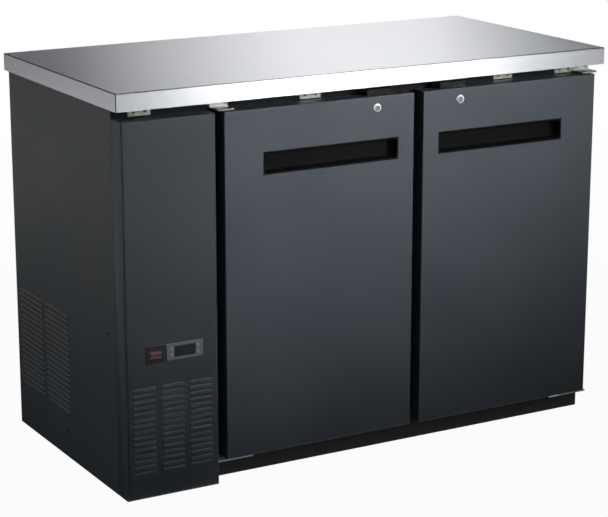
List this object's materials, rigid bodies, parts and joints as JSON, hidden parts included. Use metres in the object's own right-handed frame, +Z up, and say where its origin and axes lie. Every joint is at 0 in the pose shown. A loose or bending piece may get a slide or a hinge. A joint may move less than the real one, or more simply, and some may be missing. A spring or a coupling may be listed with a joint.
{
  "type": "under counter fridge",
  "caption": "Low back bar refrigerator with two solid swing doors, a stainless worktop and a side machine compartment behind a louvred panel.",
  "frame": {"origin": "on the floor under the middle of the worktop", "axes": "+X to the right along the worktop, -Y out of the doors, +Z up"},
  "size_m": [1.22, 0.6, 0.87],
  "materials": {
    "stainless": "satin",
    "worktop_board": "matte",
    "zinc_plated_steel": "satin",
    "black_casing": "satin",
    "black_frame": "satin",
    "door_black": "satin",
    "galvanised": "satin",
    "foam": "matte",
    "liner": "satin",
    "gasket_rubber": "matte",
    "pocket_plastic": "satin",
    "chrome_lock": "polished",
    "bush_plastic": "matte",
    "control_plastic": "satin",
    "key_plastic": "satin",
    "display_window": "gloss",
    "rocker_red": "gloss",
    "compressor_black": "gloss",
    "motor_steel": "satin",
    "fan_plastic": "satin",
    "coil_aluminium": "satin",
    "copper_pipe": "satin",
    "electrical_plastic": "satin",
    "shelf_wire": "satin",
    "standard_steel": "satin",
    "screw_steel": "satin"
  },
  "bodies": {
    "cabinet": {"back_panel": "galvanised", "base_feet": "bush_plastic", "base_pan": "galvanised", "bottom_hinges": "zinc_plated_steel", "cabinet_insulation": "foam", "compressor": "compressor_black", "compressor_grommets": "gasket_rubber", "condenser_coil": "coil_aluminium", "condenser_fan_motor": "motor_steel", "condenser_shroud": "galvanised", "controller_body": "control_plastic", "controller_window": "display_window", "cord_gland": "bush_plastic", "drain_pan": "galvanised", "electrical_box": "electrical_plastic", "evaporator_coil": "coil_aluminium", "evaporator_cover": "liner", "evaporator_fan_motor": "motor_steel", "front_frame": "black_frame", "grille_panel": "black_casing", "inner_liner": "liner", "left_side_panel": "black_casing", "lock_strikes": "zinc_plated_steel", "partition_panel": "galvanised", "refrigerant_pipes": "copper_pipe", "right_side_panel": "black_casing", "screws": "screw_steel", "shelf_left_lower": "shelf_wire", "shelf_left_upper": "shelf_wire", "shelf_right_lower": "shelf_wire", "shelf_right_upper": "shelf_wire", "shelf_supports": "standard_steel", "switch_housing": "control_plastic", "top_hinges": "zinc_plated_steel", "worktop": "stainless", "worktop_clips": "zinc_plated_steel", "worktop_core": "worktop_board"},
    "left_door": {"left_door_skin": "door_black", "left_door_foam": "foam", "left_door_inner_panel": "liner", "left_door_gasket": "gasket_rubber", "left_handle_pocket": "pocket_plastic", "left_lock_barrel": "chrome_lock", "left_hinge_bushes": "bush_plastic"},
    "right_door": {"right_door_skin": "door_black", "right_door_foam": "foam", "right_door_inner_panel": "liner", "right_door_gasket": "gasket_rubber", "right_handle_pocket": "pocket_plastic", "right_lock_barrel": "chrome_lock", "right_hinge_bushes": "bush_plastic"},
    "left_lock": {"left_lock_plug": "chrome_lock"},
    "right_lock": {"right_lock_plug": "chrome_lock"},
    "rocker": {"switch_rocker": "rocker_red"},
    "set_key": {"key_set": "key_plastic"},
    "up_key": {"key_up": "key_plastic"},
    "defrost_key": {"key_defrost": "key_plastic"},
    "down_key": {"key_down": "key_plastic"},
    "condenser_rotor": {"condenser_fan": "fan_plastic"},
    "evaporator_rotor": {"evaporator_fan": "fan_plastic"}
  },
  "joints": [
    {"name": "left_door_hinge", "type": "hinge", "parent": "cabinet", "child": "left_door", "pos_m": [-0.352, -0.2805, 0.431], "axis": [0, 0, -1], "range_deg": [0, 105]},
    {"name": "right_door_hinge", "type": "hinge", "parent": "cabinet", "child": "right_door", "pos_m": [0.576, -0.2805, 0.431], "axis": [0, 0, 1], "range_deg": [0, 105]},
    {"name": "left_lock_turn", "type": "hinge", "parent": "left_door", "child": "left_lock", "pos_m": [0.005, -0.2955, 0.785], "axis": [0, 1, 0], "range_deg": [0, 90]},
    {"name": "right_lock_turn", "type": "hinge", "parent": "right_door", "child": "right_lock", "pos_m": [0.219, -0.2955, 0.785], "axis": [0, -1, 0], "range_deg": [0, 90]},
    {"name": "rocker_tilt", "type": "hinge", "parent": "cabinet", "child": "rocker", "pos_m": [-0.531, -0.291, 0.315], "axis": [1, 0, 0], "range_deg": [0, 14]},
    {"name": "set_key_press", "type": "slide", "parent": "cabinet", "child": "set_key", "axis": [0, 1, 0], "range_m": [0, 0.0005], "stiffness_N_per_m": 400},
    {"name": "up_key_press", "type": "slide", "parent": "cabinet", "child": "up_key", "axis": [0, 1, 0], "range_m": [0, 0.0005], "stiffness_N_per_m": 400},
    {"name": "defrost_key_press", "type": "slide", "parent": "cabinet", "child": "defrost_key", "axis": [0, 1, 0], "range_m": [0, 0.0005], "stiffness_N_per_m": 400},
    {"name": "down_key_press", "type": "slide", "parent": "cabinet", "child": "down_key", "axis": [0, 1, 0], "range_m": [0, 0.0005], "stiffness_N_per_m": 400},
    {"name": "condenser_fan_spin", "type": "hinge", "parent": "cabinet", "child": "condenser_rotor", "pos_m": [-0.4914, -0.1673, 0.167], "axis": [0, 1, 0], "continuous": true},
    {"name": "evaporator_fan_spin", "type": "hinge", "parent": "cabinet", "child": "evaporator_rotor", "pos_m": [-0.022, 0.094, 0.731], "axis": [0, 0, 1], "continuous": true}
  ]
}
